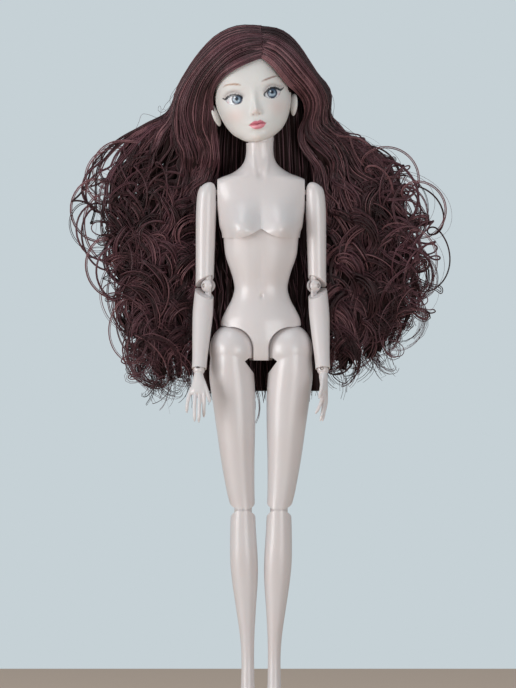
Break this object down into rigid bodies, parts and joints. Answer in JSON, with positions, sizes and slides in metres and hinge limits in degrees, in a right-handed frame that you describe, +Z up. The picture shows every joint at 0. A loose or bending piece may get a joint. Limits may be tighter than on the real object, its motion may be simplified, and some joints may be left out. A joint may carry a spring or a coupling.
{
  "type": "fashion doll",
  "caption": "Slim one-sixth scale jointed fashion doll with pale skin and long curled dark hair, posable at waist, neck, arms and legs.",
  "frame": {"origin": "middle of the waist, where a doll stand grips", "axes": "+Z up along the body towards the head, -Y the way the doll faces, +X towards its left hand"},
  "size_m": [0.1532, 0.0543, 0.3055],
  "materials": {
    "skin": "soft pearl gloss",
    "face_vinyl": "matte vinyl",
    "inner_plastic": "plain moulding",
    "pin_steel": "plain pins",
    "hair_fibre": "combed and curled fibre"
  },
  "bodies": {
    "torso": {"torso_front": "skin", "torso_back": "skin", "hip_axle": "inner_plastic"},
    "waist_turner": {"waist_ball": "inner_plastic"},
    "waist_bender": {"waist_cross": "inner_plastic"},
    "chest": {"chest_front": "skin", "chest_back": "skin", "spine_post": "inner_plastic", "waist_pin": "pin_steel", "shoulder_left_axle": "inner_plastic", "shoulder_right_axle": "inner_plastic"},
    "neck_nodder": {"neck_cross": "inner_plastic"},
    "neck_leaner": {"neck_knob": "inner_plastic", "neck_pin": "pin_steel"},
    "head": {"head_shell": "face_vinyl", "hair_cap": "hair_fibre", "hair_left": "hair_fibre", "hair_right": "hair_fibre", "hair_back": "hair_fibre"},
    "left_shoulder": {"shoulder_left_hub": "inner_plastic"},
    "left_upper_arm": {"upper_arm_left": "skin", "shoulder_left_pin": "pin_steel"},
    "left_elbow": {"elbow_left_joint": "skin", "elbow_left_pin": "pin_steel"},
    "left_forearm": {"forearm_left": "skin"},
    "left_wrist": {"wrist_left_peg": "inner_plastic"},
    "left_hand": {"hand_left": "skin", "wrist_left_pin": "pin_steel"},
    "left_hip": {"hip_left_hub": "inner_plastic"},
    "left_thigh": {"thigh_left": "skin", "hip_left_pin": "pin_steel", "knee_left_joint": "skin", "knee_left_pin": "pin_steel"},
    "left_shin": {"shin_left": "skin"},
    "left_ankle": {"ankle_left_peg": "inner_plastic"},
    "left_foot": {"foot_left": "skin", "ankle_left_pin": "pin_steel"},
    "right_shoulder": {"shoulder_right_hub": "inner_plastic"},
    "right_upper_arm": {"upper_arm_right": "skin", "shoulder_right_pin": "pin_steel"},
    "right_elbow": {"elbow_right_joint": "skin", "elbow_right_pin": "pin_steel"},
    "right_forearm": {"forearm_right": "skin"},
    "right_wrist": {"wrist_right_peg": "inner_plastic"},
    "right_hand": {"hand_right": "skin", "wrist_right_pin": "pin_steel"},
    "right_hip": {"hip_right_hub": "inner_plastic"},
    "right_thigh": {"thigh_right": "skin", "hip_right_pin": "pin_steel", "knee_right_joint": "skin", "knee_right_pin": "pin_steel"},
    "right_shin": {"shin_right": "skin"},
    "right_ankle": {"ankle_right_peg": "inner_plastic"},
    "right_foot": {"foot_right": "skin", "ankle_right_pin": "pin_steel"}
  },
  "joints": [
    {"name": "waist_turn", "type": "hinge", "parent": "torso", "child": "waist_turner", "pos_m": [0, 0, 0.0081], "axis": [0, 0, 1], "range_deg": [-20, 20]},
    {"name": "waist_bend", "type": "hinge", "parent": "waist_turner", "child": "waist_bender", "pos_m": [0, 0, 0.0081], "axis": [1, 0, 0], "range_deg": [-8, 12]},
    {"name": "waist_lean", "type": "hinge", "parent": "waist_bender", "child": "chest", "pos_m": [0, 0, 0.0081], "axis": [0, 1, 0], "range_deg": [-3, 3]},
    {"name": "neck_nod", "type": "hinge", "parent": "chest", "child": "neck_nodder", "pos_m": [0, 0, 0.0655], "axis": [1, 0, 0], "range_deg": [-5, 10]},
    {"name": "neck_lean", "type": "hinge", "parent": "neck_nodder", "child": "neck_leaner", "pos_m": [0, 0, 0.0655], "axis": [0, 1, 0], "range_deg": [-4, 16]},
    {"name": "head_turn", "type": "hinge", "parent": "neck_leaner", "child": "head", "pos_m": [0, 0, 0.0655], "axis": [-0.1392, 0, 0.9903], "range_deg": [-80, 80], "deforming": ["hair_left", "hair_right", "hair_back"]},
    {"name": "left_shoulder_swing", "type": "hinge", "parent": "chest", "child": "left_shoulder", "pos_m": [0.0238, 0, 0.0424], "axis": [-1, 0, 0], "range_deg": [-50, 160]},
    {"name": "left_shoulder_raise", "type": "hinge", "parent": "left_shoulder", "child": "left_upper_arm", "pos_m": [0.0238, 0, 0.0424], "axis": [0, -1, 0], "range_deg": [0, 90]},
    {"name": "left_elbow_turn", "type": "hinge", "parent": "left_upper_arm", "child": "left_elbow", "pos_m": [0.02295, -0.00156, 0.00188], "axis": [-0.0175, 0, 0.9998], "range_deg": [-20, 60]},
    {"name": "left_elbow_bend", "type": "hinge", "parent": "left_elbow", "child": "left_forearm", "pos_m": [0.02295, -0.00156, 0.00188], "axis": [-0.707, 0.7071, -0.0123], "range_deg": [0, 110]},
    {"name": "left_wrist_turn", "type": "hinge", "parent": "left_forearm", "child": "left_wrist", "pos_m": [0.02688, -0.01193, -0.03473], "axis": [-0.0614, 0.309, 0.9491], "range_deg": [-60, 60]},
    {"name": "left_wrist_bend", "type": "hinge", "parent": "left_wrist", "child": "left_hand", "pos_m": [0.02688, -0.01193, -0.03473], "axis": [0.227, 0.9303, -0.2882], "range_deg": [-30, 30]},
    {"name": "left_hip_swing", "type": "hinge", "parent": "torso", "child": "left_hip", "pos_m": [0.013, 0, -0.0261], "axis": [-1, 0, 0], "range_deg": [-20, 90]},
    {"name": "left_hip_spread", "type": "hinge", "parent": "left_hip", "child": "left_thigh", "pos_m": [0.013, 0, -0.0261], "axis": [0, -1, 0], "range_deg": [0, 40]},
    {"name": "left_knee_bend", "type": "hinge", "parent": "left_thigh", "child": "left_shin", "pos_m": [0.0078, 0.001, -0.0955], "axis": [1, 0, 0], "range_deg": [0, 100]},
    {"name": "left_ankle_turn", "type": "hinge", "parent": "left_shin", "child": "left_ankle", "pos_m": [0.0058, 0, -0.1755], "axis": [0, 0, 1], "range_deg": [-6, 25]},
    {"name": "left_ankle_bend", "type": "hinge", "parent": "left_ankle", "child": "left_foot", "pos_m": [0.0058, 0, -0.1755], "axis": [1, 0, 0], "range_deg": [-15, 25]},
    {"name": "right_shoulder_swing", "type": "hinge", "parent": "chest", "child": "right_shoulder", "pos_m": [-0.0238, 0, 0.0424], "axis": [-1, 0, 0], "range_deg": [-50, 160]},
    {"name": "right_shoulder_raise", "type": "hinge", "parent": "right_shoulder", "child": "right_upper_arm", "pos_m": [-0.0238, 0, 0.0424], "axis": [0, 1, 0], "range_deg": [0, 90]},
    {"name": "right_elbow_turn", "type": "hinge", "parent": "right_upper_arm", "child": "right_elbow", "pos_m": [-0.02295, -0.00156, 0.00188], "axis": [0.0175, 0, 0.9998], "range_deg": [-60, 20]},
    {"name": "right_elbow_bend", "type": "hinge", "parent": "right_elbow", "child": "right_forearm", "pos_m": [-0.02295, -0.00156, 0.00188], "axis": [-0.707, -0.7071, 0.0123], "range_deg": [0, 110]},
    {"name": "right_wrist_turn", "type": "hinge", "parent": "right_forearm", "child": "right_wrist", "pos_m": [-0.02688, -0.01193, -0.03473], "axis": [0.0614, 0.309, 0.9491], "range_deg": [-60, 60]},
    {"name": "right_wrist_bend", "type": "hinge", "parent": "right_wrist", "child": "right_hand", "pos_m": [-0.02688, -0.01193, -0.03473], "axis": [0.9803, -0.1977, 0.001], "range_deg": [-30, 30]},
    {"name": "right_hip_swing", "type": "hinge", "parent": "torso", "child": "right_hip", "pos_m": [-0.013, 0, -0.0261], "axis": [-1, 0, 0], "range_deg": [-20, 90]},
    {"name": "right_hip_spread", "type": "hinge", "parent": "right_hip", "child": "right_thigh", "pos_m": [-0.013, 0, -0.0261], "axis": [0, 1, 0], "range_deg": [0, 40]},
    {"name": "right_knee_bend", "type": "hinge", "parent": "right_thigh", "child": "right_shin", "pos_m": [-0.0078, 0.001, -0.0955], "axis": [1, 0, 0], "range_deg": [0, 100]},
    {"name": "right_ankle_turn", "type": "hinge", "parent": "right_shin", "child": "right_ankle", "pos_m": [-0.0058, 0, -0.1755], "axis": [0, 0, 1], "range_deg": [-25, 6]},
    {"name": "right_ankle_bend", "type": "hinge", "parent": "right_ankle", "child": "right_foot", "pos_m": [-0.0058, 0, -0.1755], "axis": [1, 0, 0], "range_deg": [-15, 25]}
  ]
}
